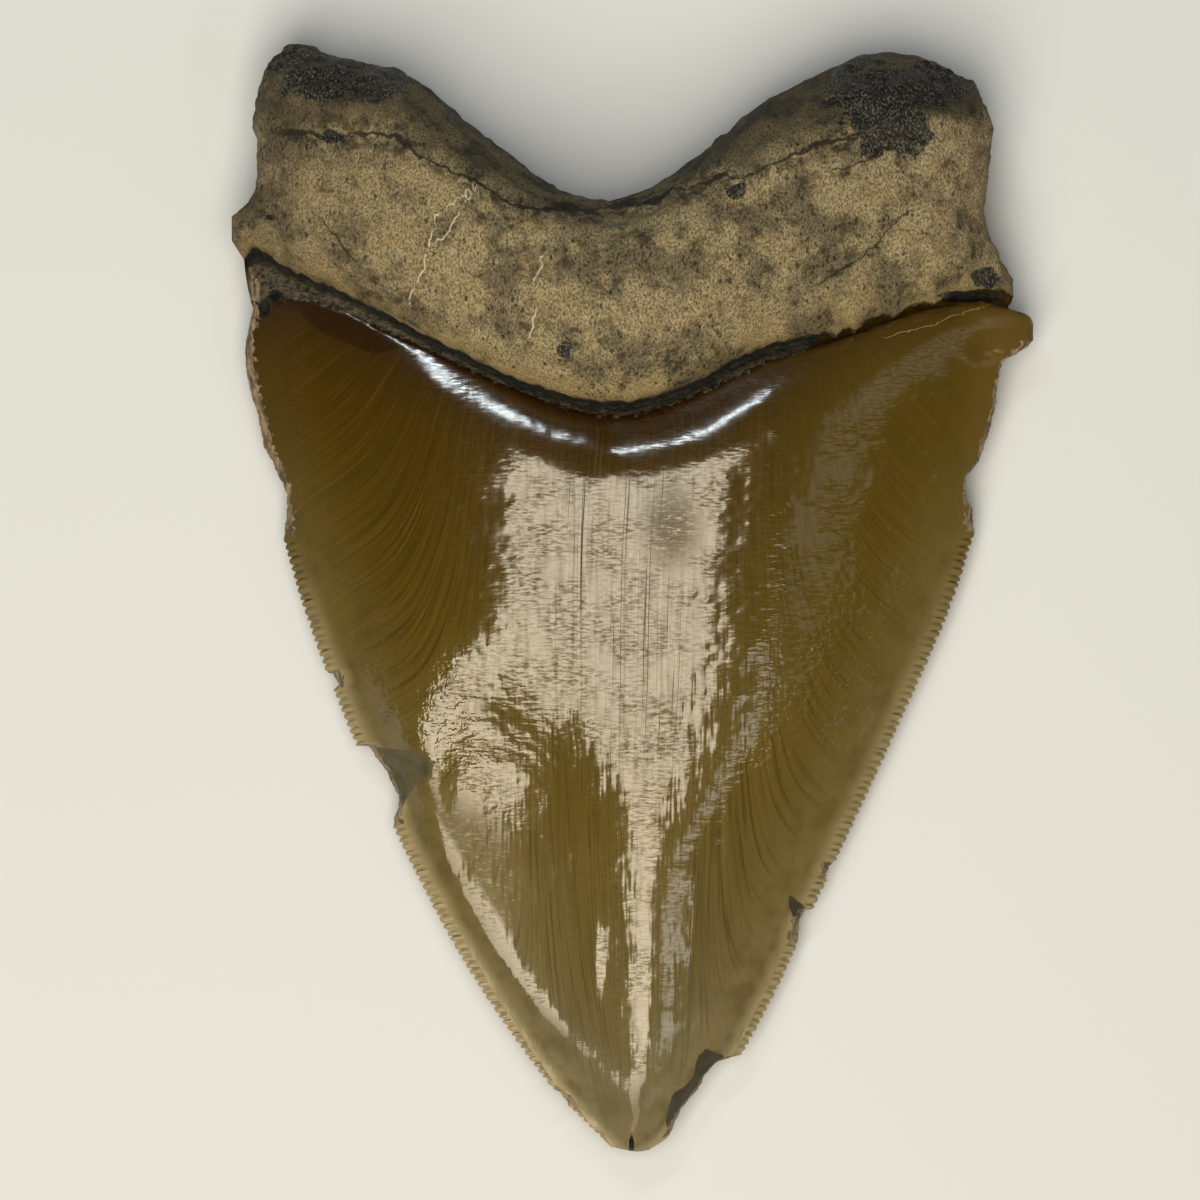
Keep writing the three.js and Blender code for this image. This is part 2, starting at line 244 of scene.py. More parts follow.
# %% [markdown]
# The crown isn't an even dome. Its ridge runs a little right of the middle, with a hollow on its left, and
# a low swelling follows the left edge. They decide where the glossy face shows the lamps. Each is a smooth
# bump in the face. Bump in the material would shine in the same way, but leave the side view flat.

# %% Low relief of the crown
RIDGE_OFFSET = 0.11
HOLLOW_DEPTH, HOLLOW_REACH, HOLLOW_SHARE = 5.4, 10.5, 0.38
# Dents: middle x and y, half sizes in x and y, depth; below 0 it is a bump.
DENTS = [
    (-2.2, 18.6, 1.3, 1.5, 0.22), (40.6, 28.4, 1.7, 1.1, 0.7), (-4.4, -41, 0.9, 4.5, -0.46),
    (7, -38, 1, 4.5, -0.36), (11, -30, 1.2, 4, -0.42)]
# The swelling: distance below the middle of the tooth, distance from the edge, half width, height.
SWELLING = [
    (3, 12, 8, 0), (8, 10.5, 7.6, 1), (13, 8.6, 6.4, 2.05), (18, 6.6, 5.4, 2.2), (22, 5, 4.2, 1.85),
    (25, 4.1, 3.2, 1.4), (28, 3.6, 2, 0.95), (31, 3.5, 1.4, 0.64), (38, 4, 1.3, 0.56), (46, 4.9, 1.6, 0.54),
    (50, 6, 1.9, 0.5), (54, 8, 2.35, 0.64), (58, 9.5, 2.6, 0.42)]


def beside_ridge(u, y):
    """Which side of the ridge a point lies on, below 0 on the left, and how far out, 1 at the edge."""
    ridge = RIDGE_OFFSET * step(-y, 5, 30) * step(y, -63, -52)
    lean = 2 * u - 1 - ridge
    return lean, np.abs(lean) / (1 - np.sign(lean) * ridge)


def ridge_hollow(lean, side, half_width, y, climb):
    """Depth of the hollow on the ridge's left, which starts more sharply and reaches further low down."""
    low = step(-y, 22, 32)
    reach = np.minimum(HOLLOW_REACH + 1.5 * low, (HOLLOW_SHARE + 0.08 * low) * half_width)
    away = np.maximum(-lean, 0) * half_width / reach
    depth = HOLLOW_DEPTH * (step(-y, 2, 25) + 0.16 * low) * climb / HOLLOW_REACH
    return depth * (1 - np.exp(-away**(2 - 0.5 * low))) * (1 - side**2)


def dent_depth(x, y):
    return sum(deep * np.exp(-((x - cx) / rx)**2 - ((y - cy) / ry)**2) for cx, cy, rx, ry, deep in DENTS)


def left_swelling(u, half_width, y):
    place, inset, width, height = np.array(SWELLING).T
    from_edge = 2 * u * half_width
    off = (from_edge - np.interp(-y, place, inset)) / np.interp(-y, place, width)
    return np.interp(-y, place, height) * np.exp(-off**2) * (1 - np.exp(-(from_edge / 4)**2))


print("dents and bumps", len(DENTS), "highest swelling", max(row[-1] for row in SWELLING))

# %% [markdown]
# The crown is broad below the neck and narrows to a ridge towards the tip, because the power in its formula
# falls. It drops into the neck and flattens into a bevel along each edge, a wider shelf on the left. The
# root climbs from its lip to a bulge and rounds over at its arch. The flat face lifts from the table to the
# edges.

# %% The domed face and the flat face
BEVEL_HEIGHT, BEVEL_WIDTH, SHELF_HEIGHT = 1.5, 6, 1.8
NECK_FALL, NECK_REACH, GROOVE_DEPTH = 2.8, 9, 0.8
BULGE_AT = 0.45


def crown_face(plan, u, half_width, below):
    x, y = plan[..., 0], plan[..., 1]
    lean, side = beside_ridge(u, y)
    rim = rim_height(y)
    crest = CROWN_CREST - (CROWN_CREST - TIP_CREST) * np.clip((18 - y) / 81.5, 0, 1)**1.55
    narrowing = np.where(lean < 0, 0.9 * step(-y, 16, 46), 1.42 * step(-y, 12, 34))
    dome = (1 - side**(2.75 + 0.2 * step(-y, -10, 10) - narrowing))**1.6
    shelf = (lean < 0) * step(-y, 2, 16) * step(y, -44, -26)
    bevel_height = BEVEL_HEIGHT * step(y, -64, -56) + SHELF_HEIGHT * shelf
    bevel = 1 - (1 - np.clip((1 - side) * half_width / (BEVEL_WIDTH + shelf), 0, 1))**2
    neck = NECK_FALL * (1 - np.clip(below / NECK_REACH, 0, 1))**2 * (1 - side**2)
    sway = 0.05 * np.sin(0.55 * x + 0.13 * y + 1) * np.sin(0.31 * y - 0.2 * x) * (1 - side)
    face = rim + bevel_height * bevel + (crest - rim - bevel_height) * dome
    face = face - ridge_hollow(lean, side, half_width, y, crest - rim) - neck - dent_depth(x, y)
    return face + left_swelling(u, half_width, y) + sway


def root_face(plan, u, t):
    side = np.abs(2 * u - 1)
    middle = 1 - side**1.7
    lip = LIP_SHOULDER + (LIP_MIDDLE - LIP_SHOULDER) * middle
    crest = LOBE_CREST + (ROOT_CREST - LOBE_CREST) * middle
    climb = np.sin(np.clip(t / BULGE_AT, 0, 1) * np.pi / 2)
    fall = 3 * np.clip((t - BULGE_AT) / (1 - BULGE_AT), 0, 1)**2
    full = lip + (crest - lip) * climb - fall
    rim = rim_height(plan[..., 1])
    return rim + (full - rim) * round_over(from_root_outline(plan), ROOT_ROUNDING)


def flat_face(plan, u):
    x, y = plan[..., 0], plan[..., 1]
    rim = rim_height(y)
    belly = TIP_BELLY * np.clip((-35 - y) / 28.5, 0, 1)**2
    hollow = ROOT_HOLLOW * np.exp(-((x + 1) / 13)**2 - ((y - 45) / 8)**2)
    crown_flat = 1 - np.clip((np.abs(2 * u - 1) - 0.35) / 0.65, 0, 1)**1.8
    root_flat = round_over(from_root_outline(plan), ROOT_ROUNDING)
    turn = step(y, 26, 40)
    return np.maximum(0, rim - (rim - belly - hollow) * (crown_flat * (1 - turn) + root_flat * turn))


middle_height = crown_face(np.array([[0.0, 0.0]]), np.array([0.5]), 39.0, 25.0)[0]
print("crown above the middle of the plan", middle_height.round(2))

# %% [markdown]
# ## Scars and marks
# Flakes have come off beside some chips, cracks run over the root, and white traces wind over it. Each is a
# line on the plan. The signed distance of a point from such a line, minus on its left and plus on its right,
# sinks a scar into the face and later paints a crack that is as sharp as one likes. Where two lines meet,
# the sign can jump, so the plain distance is kept as well. Black patches and dark hollows are ovals.

# %% Lines of wear
# Scars: the inner line, the corners that close it outside the tooth, and how steeply it sinks.
SCARS = [
    ([(-30.7, -16.7), (-29.2, -17.1), (-24.2, -17.6), (-22.6, -19.3), (-23.2, -20.4), (-24.9, -21.4),
      (-26.1, -23.3), (-27, -25.4)], [(-33, -25), (-34, -18)], 0.4),
    ([(10.5, -52.5), (8.4, -51.6), (7.4, -52.7), (7, -54.9), (6, -55.9), (4.6, -56.8), (4.1, -58.8),
      (3.8, -59.9), (4.1, -61)], [(9, -62), (14, -55)], 0.5),
    ([(20.2, -35.8), (18.1, -34), (17.8, -35), (18.5, -36.6), (18.5, -38.5)],
     [(22, -38.5), (22, -36)], 0.6),
]
SCAR_DEEPEST = 1.1
CREST_CRACK = [
    (-48, 53.6), (-39.8, 53.1), (-34.1, 52.5), (-28.9, 52.8), (-26.6, 52.3), (-23.2, 49.6), (-18.6, 47.7),
    (-15.2, 45.6), (-12.3, 44.1), (-8.3, 44.1), (-3.7, 44.3), (2, 45), (6.6, 46.8), (10, 47.9),
    (12.9, 47.7), (16.9, 49.6), (20.3, 51.3), (26.1, 52.5), (48, 55)]
CRACKS = [
    [(26.6, 49.6), (22.6, 48.5)],
    [(20.9, 35.5), (24.4, 37.6), (28.4, 41), (31.2, 43.9)],
    [(-35, 42.5), (-33.8, 41.2), (-31.5, 38.2)],
]
TRACES = [
    [(-18.2, 46.8), (-20.3, 45), (-22.4, 43.3), (-22.9, 40.5), (-23.8, 37.6), (-25.4, 33.7)],
    [(-21.7, 40.5), (-19.8, 43.5), (-18, 46.2)],
    [(-29.2, 47.2), (-30, 46.8), (-29.6, 46)],
    [(-10.4, 38.5), (-10.5, 37.2), (-11.1, 35.9)],
    [(-11.2, 32), (-11.5, 29.5)],
    [(28.7, 29.8), (31.2, 30.2), (33, 30.9), (36.4, 32.1), (38.7, 32.8), (41, 33.8)],
]
# Ovals: middle x and y, half sizes in x and y.
BLACK_PATCHES = [
    (-39.8, 61.4, 2.8, 1.7), (-35, 59.6, 5.4, 3.4), (-29.5, 58.6, 4.2, 2.4), (27.2, 57.1, 5.2, 5.2),
    (34.1, 58.8, 4.6, 2.9), (31.2, 53.1, 3.4, 2.9), (27, 51.3, 1.6, 1.9), (-34.1, 52.5, 1.7, 1),
    (11.7, 46.2, 1.4, 1), (-7.7, 28.2, 0.9, 1), (40.4, 36.4, 1.7, 1.4), (-20.7, 54.8, 0.7, 0.6)]
# The hollows are slits and gaps, sunk into the face and painted nearly black as shade.
HOLLOWS = [
    (-42.6, 38.9, 1.6, 0.5), (-40.9, 34.6, 1.1, 0.7), (-42.1, 33.3, 0.8, 1.1), (38.6, 34.5, 4.6, 0.5),
    (-0.1, -63, 0.32, 1.6), (-41.3, 43.4, 0.8, 0.4)]
print("scars", len(SCARS), "cracks", 1 + len(CRACKS), "traces", len(TRACES), "patches", len(BLACK_PATCHES))


# %% Distances from the lines
def signed_distance(plan, lines):
    """Distance of plan points from the nearest of some lines, minus on the left of the way that it runs."""
    best = np.full(plan.shape[:-1], np.inf)
    sign = np.ones(plan.shape[:-1])
    for line in lines:
        for a, b in zip(np.array(line[:-1], float), np.array(line[1:], float)):
            way = b - a
            offset = plan - a
            t = np.clip((offset @ way) / (way @ way), 0, 1)
            off = offset - t[..., None] * way
            distance = np.hypot(off[..., 0], off[..., 1])
            turn = np.where(way[0] * offset[..., 1] - way[1] * offset[..., 0] > 0, -1.0, 1.0)
            sign = np.where(distance < best, turn, sign)
            best = np.minimum(best, distance)
    return best * sign


def inside(plan, corners):
    """True for plan points inside a closed shape."""
    x, y = plan[..., 0], plan[..., 1]
    within = np.zeros(x.shape, bool)
    for (ax, ay), (bx, by) in zip(corners, corners[1:] + corners[:1]):
        if ay != by:
            within ^= ((ay > y) != (by > y)) & (x < ax + (y - ay) * (bx - ax) / (by - ay))
    return within


def scar_reach(plan):
    """Distance into the nearest scar from its inner line, below 0 outside it, and how far it is sunk."""
    reach = np.full(plan.shape[:-1], -9.0)
    sunk = np.zeros(plan.shape[:-1])
    for line, beyond, slope in SCARS:
        distance = np.abs(signed_distance(plan, [line]))
        within = inside(plan, line + beyond)
        reach = np.maximum(reach, np.where(within, distance, -distance))
        sunk = np.where(within, np.clip(0.06 + slope * distance, 0, SCAR_DEEPEST), sunk)
    return reach, sunk


def in_spots(plan, spots):
    """1 in the middle of a spot, 0 at its border and below 0 outside it."""
    x, y = plan[..., 0], plan[..., 1]
    return np.max([1 - np.hypot((x - cx) / rx, (y - cy) / ry) for cx, cy, rx, ry in spots], axis=0)


def wobbled(plan):
    """Plan points, shifted a little, so that straight pieces of a line come out crooked."""
    x, y = plan[..., 0], plan[..., 1]
    shift = np.stack([ragged(0.55 * y + 0.2 * x, 2), ragged(0.55 * x - 0.2 * y, 4)], axis=-1)
    return plan + 0.38 * shift


print("long crack from the middle, mm:", signed_distance(np.zeros((1, 2)), [CREST_CRACK]).round(1))

# %% [markdown]
# ## The skin
# Rows of points become one closed skin: the domed face above, the flat face below, and one shared line of
# points around the outline. Root, neck band and crown are made first, each with what its points know, such
# as their distance from the root's lip. Small knobs of bone hang over the neck, so the lip is made ragged.

# %% Points of the three bands
LIP_KNOBS = [(-40.3, 0.6), (-38.4, 0.5), (-36.2, 0.5), (23.2, 0.7), (25.5, 0.8), (30.1, 0.6), (34.5, 0.5)]
KNOB_WIDTH = 0.75
ROOT_HEIGHT = 24.0
NECK_HALF_WIDTH = 44.0


def zone(plan, u, upper, **marks):
    """One band of rows, its points and what they know."""
    shape = plan.shape[:-1]
    values = {name: np.broadcast_to(value, shape) for name, value in marks.items()}
    return {"plan": plan, "u": np.broadcast_to(u, shape), "upper": upper, **values}


def ragged_lip(u):
    """The root's lip, a little wavy, with knobs that hang over the band."""
    lip = walk(root_lip, u)
    drop = 0.12 * ragged(lip[..., 0], 5)
    for x, size in LIP_KNOBS:
        drop = drop + size * np.exp(-((lip[..., 0] - x) / KNOB_WIDTH)**2)
    ends = np.minimum(u, 1 - u)
    lip[..., 1] -= drop * np.clip(ends / 0.02, 0, 1)
    return lip


def make_root():
    u = column_at[None, :]
    plan = patch(root_lip, root_arch, root_left, root_right, u, root_at)
    moved = ragged_lip(column_at) - walk(root_lip, column_at)
    plan = plan + moved[None] * np.clip(1 - root_at / 0.12, 0, 1)[..., None]
    above_lip = root_at * ROOT_HEIGHT
    overhang = 0.9 * (1 - round_over(above_lip, 1.1)) * np.clip(np.minimum(u, 1 - u) / 0.02, 0, 1)
    height = root_face(plan, u, root_at) - overhang
    return zone(plan, u, height, lip=above_lip, below=-above_lip - 2, gap=20.0, arc=0.0)


def make_band():
    u = column_at[None, :]
    t = np.linspace(0, 1, BAND_ROWS + 1)[1:-1, None]
    lip, enamel = ragged_lip(column_at)[None], walk(enamel_top, column_at)[None]
    plan = lip + (0.12 + 0.88 * t)[..., None] * (enamel - lip)
    floor = crown_face(enamel, u, NECK_HALF_WIDTH, 0.0) - GROOVE_DEPTH * (1 - t)
    width = np.linalg.norm(enamel - lip, axis=-1)
    gap = 2 * NECK_HALF_WIDTH * np.minimum(u, 1 - u)
    return zone(plan, u, floor, lip=-t * width, below=(t - 1) * width, gap=gap, arc=0.0)


def make_crown():
    v = crown_at
    half = np.linalg.norm(walk(crown_left, v) - walk(crown_right, v), axis=-1) / 2
    whole_u = np.broadcast_to(column_at[None, :], (len(v), COLUMNS + 1))
    u = bitten_columns(whole_u, v, half)
    plan = patch(enamel_top, tip, crown_left, crown_right, u, v)
    below = walk(enamel_top, u)[..., 1] - plan[..., 1]
    arc = np.where(u < 0.5, v * length_along(crown_left)[-1], v * length_along(crown_right)[-1])
    gap = 2 * half * np.minimum(whole_u, 1 - whole_u)
    return zone(plan, u, crown_face(plan, u, half, below), lip=-below - 1.5, below=below, gap=gap, arc=arc)


zones = [make_root(), make_band(), make_crown()]
print("points", sum(z["upper"].size for z in zones))

# %% Join the bands into one set of rows
HOLLOW_SINK = 0.9
THINNEST = 0.12
fields = {name: np.concatenate([z[name] for z in zones]) for name in zones[0]}
plan, across = fields["plan"], fields["u"]
scar, sunk = scar_reach(plan)
hollow = in_spots(plan, HOLLOWS)
upper = fields["upper"] - sunk - HOLLOW_SINK * np.clip(2 * hollow, 0, 1)
lower = np.minimum(flat_face(plan, across), upper - THINNEST)
print("highest", upper.max().round(2), "lowest", lower.min().round(2))

# %% [markdown]
# Each face lies between two rows and two columns. The fine rows exist only along the edges. Where they meet
# the coarse rows, a face simply gets more corners, which keeps the skin closed. Cutting every row would do
# as well, but with four times the points.

# %% Faces between the rows
ROOT_TOP = ROOT_ROWS + BAND_ROWS
row_index = np.arange(upper.shape[0])
is_fine_row = (row_index > ROOT_TOP) & ((row_index - ROOT_TOP) % RIM_CUTS != 0)
coarse_rows = row_index[~is_fine_row]
column_index = np.arange(COLUMNS + 1)
in_rim = (column_index <= RIM_COLUMNS) | (column_index >= COLUMNS - RIM_COLUMNS)
outline = np.zeros(upper.shape, bool)
outline[0], outline[-1], outline[:, 0], outline[:, -1] = True, True, True, True
used = ~is_fine_row[:, None] | in_rim[None, :]

upper_id = np.full(upper.shape, -1)
upper_id[used] = np.arange(used.sum())
lower_id = upper_id.copy()
inner = used & ~outline
lower_id[inner] = used.sum() + np.arange(inner.sum())


def column_side(ids, first, last, c):
    """The points of a column between two coarse rows."""
    return list(ids[first:last + 1, c]) if in_rim[c] else [ids[first, c], ids[last, c]]


def face_loops(ids):
    """Faces of one side, seen from above: squares, and wider faces where fine rows meet coarse ones."""
    loops = []
    for first, last in zip(coarse_rows[:-1], coarse_rows[1:]):
        for c in range(COLUMNS):
            if c < RIM_COLUMNS or c >= COLUMNS - RIM_COLUMNS:
                rows = range(first, last)
                loops += [[ids[r, c], ids[r + 1, c], ids[r + 1, c + 1], ids[r, c + 1]] for r in rows]
                continue
            loops.append(column_side(ids, first, last, c) + column_side(ids, first, last, c + 1)[::-1])
    return loops


faces = face_loops(upper_id) + [loop[::-1] for loop in face_loops(lower_id)]
on_crown = fields["below"] > 0
rim = np.where(on_crown, (upper + lower) / 2, rim_height(plan[..., 1]))
points = np.concatenate([
    np.column_stack([plan[used], np.where(outline, rim, upper)[used]]),
    np.column_stack([plan[inner], lower[inner]]),
])
print("faces", len(faces), "points", len(points))

# %% [markdown]
# ## What the points know
# The nodes that follow read named attributes, so a saw tooth or a colour knows where it is on the tooth.
# Each has one value for the domed face and one for the flat face. The growth lines of the enamel start
# straight down the middle and sweep out to the edges, and a short formula follows a point's line back up to
# the neck.

# %% Marks for both faces
BEND_MIDDLE, BEND_SIDE = 0.004, 0.031
SERRATED = {"left": (6.9, -62.4), "right": (7.4, -52.6)}
FULL_BREAK = 0.2
FLAT_BORDER = 31.5
FAR = 9.0


def growth_line(across, below):
    """Where on the neck, from -1 to 1, the growth line of a point begins."""
    side = 2 * across - 1
    way = np.clip(below, 0, None) * (1 + np.clip(below, 0, None) / 120)
    pull = side**2 / (BEND_MIDDLE + BEND_SIDE * side**2) * np.exp(-2 * BEND_MIDDLE * way)
    return np.sign(side) * np.sqrt(BEND_MIDDLE * pull / (1 - BEND_SIDE * pull))


left_half = across < 0.5
edge_y = np.where(left_half, np.interp(fields["arc"], length_along(crown_left), crown_left[:, 1]),
                  np.interp(fields["arc"], length_along(crown_right), crown_right[:, 1]))
broken_back = np.clip(np.where(left_half, bite("left", edge_y), bite("right", edge_y)) / FULL_BREAK, 0, 1)
neck_strip = (~on_crown) & left_half & (fields["lip"] < 0)
broken = np.where(on_crown, broken_back, neck_strip)
first_y = np.where(left_half, SERRATED["left"][0], SERRATED["right"][0])
last_y = np.where(left_half, SERRATED["left"][1], SERRATED["right"][1])
serrated = step(first_y - edge_y, 0, 1) * step(edge_y - last_y, 0, 1) * (1 - broken_back) * on_crown
flat_below = FLAT_BORDER + 2.5 * np.cos(np.pi * (across - 0.5)) - plan[..., 1]
crooked = wobbled(plan)
crack, trace = signed_distance(crooked, CRACKS), signed_distance(crooked, TRACES)
crest = -signed_distance(crooked, [CREST_CRACK])
patches = in_spots(plan, BLACK_PATCHES)
far = np.full(scar.shape, FAR)
marks = {
    "lip": (fields["lip"], -flat_below),
    "below": (fields["below"], flat_below),
    "gap": (fields["gap"], fields["gap"]),
    "arc": (fields["arc"], fields["arc"]),
    "broken": (broken, broken),
    "serrated": (serrated, serrated),
    "scar": (scar, -far),
    "hollow": (hollow, -far),
    "crest": (crest, crest),
    "crack": (crack, far),
    "crack_near": (np.abs(crack), far),
    "trace": (trace, far),
    "trace_near": (np.abs(trace), far),
    "patch": (patches, patches - 0.5),
    "growth": (growth_line(across, fields["below"]), growth_line(across, flat_below)),
    "face": (far / FAR, -far / FAR),
}
print("marks", ", ".join(marks))

# %% [markdown]
# Blender counts in metres, so the points are scaled here, once. `foreach_set` fills an attribute in one go,
# far faster than point by point.

# %% Make the mesh
MM = 0.001
mesh = bpy.data.meshes.new("tooth_skin")
mesh.from_pydata((points * MM).tolist(), [], [[int(i) for i in loop] for loop in faces])
for name, (above, under) in marks.items():
    values = np.concatenate([above[used], under[inner]]).astype(np.float32)
    mesh.attributes.new(name, "FLOAT", "POINT").data.foreach_set("value", values)
mesh.validate()
skin = bpy.data.objects.new("fossil_tooth", mesh)
bpy.context.scene.collection.objects.link(skin)
print("triangles", sum(len(p.vertices) - 2 for p in mesh.polygons))

# %% [markdown]
# ## Wires
# Node trees are easier to read as sums. This small class holds one socket, and its operators add Math nodes,
# so `1 - mask` is one line. Every other node comes from the one method `node`.

# %% A socket with arithmetic
class Wire:
    def __init__(self, tree, socket=None):
        self.tree, self.socket = tree, socket

    def node(self, kind, settings=None, sockets=None, out=0):
        """Add a node: its settings first, then values or links for its sockets; the wire of one output."""
        made = self.tree.nodes.new(kind)
        for key, value in (settings or {}).items():
            if key == "stops":
                self.fill_ramp(made.color_ramp.elements, value)
            else:
                setattr(made, key, value)
        for key, value in (sockets or {}).items():
            if isinstance(value, Wire):
                self.tree.links.new(value.socket, made.inputs[key])
            else:
                made.inputs[key].default_value = value
        return Wire(self.tree, made.outputs[out] if made.outputs else None)

    @staticmethod
    def fill_ramp(elements, stops):
        while len(elements) < len(stops):
            elements.new(1)
        for element, (place, colour) in zip(elements, stops):
            element.position, element.color = place, colour

    def other(self, name):
        """Another output of the same node."""
        return Wire(self.tree, self.socket.node.outputs[name])

    def math(self, operation, *others):
        return self.node("ShaderNodeMath", {"operation": operation}, dict(enumerate((self,) + others)))

    def after(self, operation, first):
        """The same, with another value before this wire."""
        return self.node("ShaderNodeMath", {"operation": operation}, {0: first, 1: self})

    def __abs__(self):
        return self.math("ABSOLUTE")

    def ramp(self, start, end):
        """0 before start, 1 after end, and smooth between them."""
        sockets = {0: self, 1: start, 2: end}
        return self.node("ShaderNodeMapRange", {"interpolation_type": "SMOOTHSTEP"}, sockets)

    def mix(self, first, second):
        """Blend two colours, with this wire as the factor."""
        return self.node("ShaderNodeMix", {"data_type": "RGBA"}, {0: self, 6: first, 7: second}, out=2)

    def scaled(self, x, y, z):
        return self.node("ShaderNodeVectorMath", {"operation": "MULTIPLY"}, {0: self, 1: (x, y, z)})

    def part(self, axis):
        """One number of a vector or a colour: 0, 1 or 2."""
        return self.node("ShaderNodeSeparateXYZ", {}, {0: self}, out=axis)


OPERATORS = {"add": "ADD", "sub": "SUBTRACT", "mul": "MULTIPLY", "truediv": "DIVIDE", "pow": "POWER"}
for name, operation in OPERATORS.items():
    setattr(Wire, f"__{name}__", lambda self, other, kind=operation: self.math(kind, other))
    setattr(Wire, f"__r{name}__", lambda self, other, kind=operation: self.after(kind, other))
print("wire operators", ", ".join(OPERATORS))

# %% [markdown]
# ## Saw teeth
# The crown's edges carry fine, even saw teeth. They repeat along a path, so Geometry Nodes cut them: the
# tree reads how far along the edge a point lies, takes the remainder by the pitch, and pushes the point in
# towards the middle at each notch. Instancing a tooth shape hundreds of times would leave hundreds of loose
# shells instead.

# %% Tree of the saw teeth
def new_tree(name, inputs):
    """A Geometry Nodes tree with named numbers as inputs: its wires, and a function that moves the points."""
    tree = bpy.data.node_groups.new(name, "GeometryNodeTree")
    tree.interface.new_socket("Geometry", in_out="INPUT", socket_type="NodeSocketGeometry")
    for label in inputs:
        tree.interface.new_socket(label, in_out="INPUT", socket_type="NodeSocketFloat")
    tree.interface.new_socket("Material", in_out="INPUT", socket_type="NodeSocketMaterial")
    tree.interface.new_socket("Geometry", in_out="OUTPUT", socket_type="NodeSocketGeometry")
    start = tree.nodes.new("NodeGroupInput")
    wires = {socket.name: Wire(tree, socket) for socket in start.outputs if socket.name}

    def move_points(offset):
        sockets = {"Geometry": wires["Geometry"], "Offset": offset}
        moved = offset.node("GeometryNodeSetPosition", {}, sockets)
        real = moved.node("GeometryNodeRealizeInstances", {}, {0: moved})
        dressed = real.node("GeometryNodeSetMaterial", {}, {"Geometry": real, "Material": wires["Material"]})
        end = tree.nodes.new("NodeGroupOutput")
        tree.links.new(dressed.socket, end.inputs[0])
        return tree
    return wires, move_points


def known(wire, name):
    """A named attribute of the points."""
    return wire.node("GeometryNodeInputNamedAttribute", {"data_type": "FLOAT"}, {"Name": name})


def saw_tooth_tree():
    wires, move_points = new_tree("saw teeth", ["Pitch", "Depth", "Ridge", "Reach", "Seed"])
    start = wires["Geometry"]
    arc, gap, face = known(start, "arc"), known(start, "gap"), known(start, "face")
    uneven = start.node("ShaderNodeTexNoise", {"noise_dimensions": "1D"},
                        {"W": arc * 0.9 + wires["Seed"], "Scale": 1.0, "Detail": 2.0})
    phase = (arc / wires["Pitch"] + uneven * 0.7).math("FRACT")
    notch = (1 - abs(phase - 0.5) / 0.32).math("MAXIMUM", 0.0)
    fade = (1 - gap / wires["Reach"]).math("MAXIMUM", 0.0) * known(start, "serrated")
    push = notch * fade * (0.6 + uneven * 0.8)
    inwards = start.node("GeometryNodeInputPosition").part(0).math("SIGN") * -0.92
    ridge = (0.35 - notch) * (fade ** 0.5) * wires["Ridge"] * face * gap.ramp(0.0, 0.4)
    offset = start.node("ShaderNodeCombineXYZ", {}, {
        0: push * wires["Depth"] * inwards * MM, 1: push * wires["Depth"] * (0.3 * MM), 2: ridge * MM})
    return move_points(offset)


saw_teeth = saw_tooth_tree()
print(saw_teeth.name, len(saw_teeth.nodes), "nodes")

# %% [markdown]
# ## Relief of the root
# The root is bone: full of small pits where vessels entered, with a fine vertical grain between them. Its
# relief follows the surface, so a second tree moves points along their normals, by noise and by cells. Pits
# and worn patches go in, and the broad lumps go in as much as out, so the tooth keeps its size. The neck
# band gets a coarser roughness.

# %% Tree of the bone relief
def bone_relief_tree():
    wires, move_points = new_tree("bone relief", ["Pit spacing", "Pit depth", "Grain depth", "Seed"])
    start = wires["Geometry"]
    place = start.node("GeometryNodeInputPosition").scaled(1000, 1000, 1000)
    lip, below, patch_mark = known(start, "lip"), known(start, "below"), known(start, "patch")
    on_root = lip.ramp(0.0, 0.8)
    on_band = (1 - on_root) * (1 - below.ramp(-0.4, 0.2))
    cells = start.node("ShaderNodeTexVoronoi", {"voronoi_dimensions": "4D"},
                       {"Vector": place, "W": wires["Seed"], "Scale": 1 / wires["Pit spacing"]})
    chosen = cells.other("Color").part(0).ramp(0.72, 0.78)
    pits = (1 - cells.ramp(0.12, 0.34)) * chosen

    def rough(stretch, scale, detail):
        return start.node("ShaderNodeTexNoise", {"noise_dimensions": "4D"}, {
            "Vector": place.scaled(*stretch), "W": wires["Seed"], "Scale": scale, "Detail": detail}) - 0.5

    lumps = rough((1, 1, 1), 0.13, 4.0) * 1.3
    grain = rough((1.6, 0.4, 1), 0.9, 3.0) * wires["Grain depth"]
    crumbs = rough((1, 1, 1), 0.75, 4.0)
    knobs = rough((1, 1, 1), 0.4, 3.0) * 1.7
    worn = patch_mark.ramp(-0.15, 0.25)
    depth = pits * wires["Pit depth"] + grain + lumps + knobs + worn * (0.25 + crumbs * 1.6)
    depth = depth * on_root + on_band * (crumbs * 1.2 + 0.2)
    normal = start.node("GeometryNodeInputNormal")
    offset = start.node("ShaderNodeVectorMath", {"operation": "SCALE"}, {0: normal, "Scale": depth * -MM})
    return move_points(offset)


bone_relief = bone_relief_tree()
print(bone_relief.name, len(bone_relief.nodes), "nodes")

# %% [markdown]
# ## Finishes
# A function gives the shader of each finish, and masks from the attributes mix them, with a little noise to
# make the borders ragged. Separate material slots would give borders as coarse as the mesh. Tones are given
# as they shall look on the screen. The lamps are a little too bright for that, so `EXPOSURE` takes it back.

# %% Colours and small helpers
EXPOSURE = 0.745


def colour(red, green, blue):
    """A colour as it shall look under these lights, 0 to 255, as the linear colour that shaders use."""
    parts = [c / 255 for c in (red, green, blue)]
    linear = [c / 12.92 if c <= 0.04045 else ((c + 0.055) / 1.055)**2.4 for c in parts]
    return tuple(c * EXPOSURE for c in linear) + (1.0,)


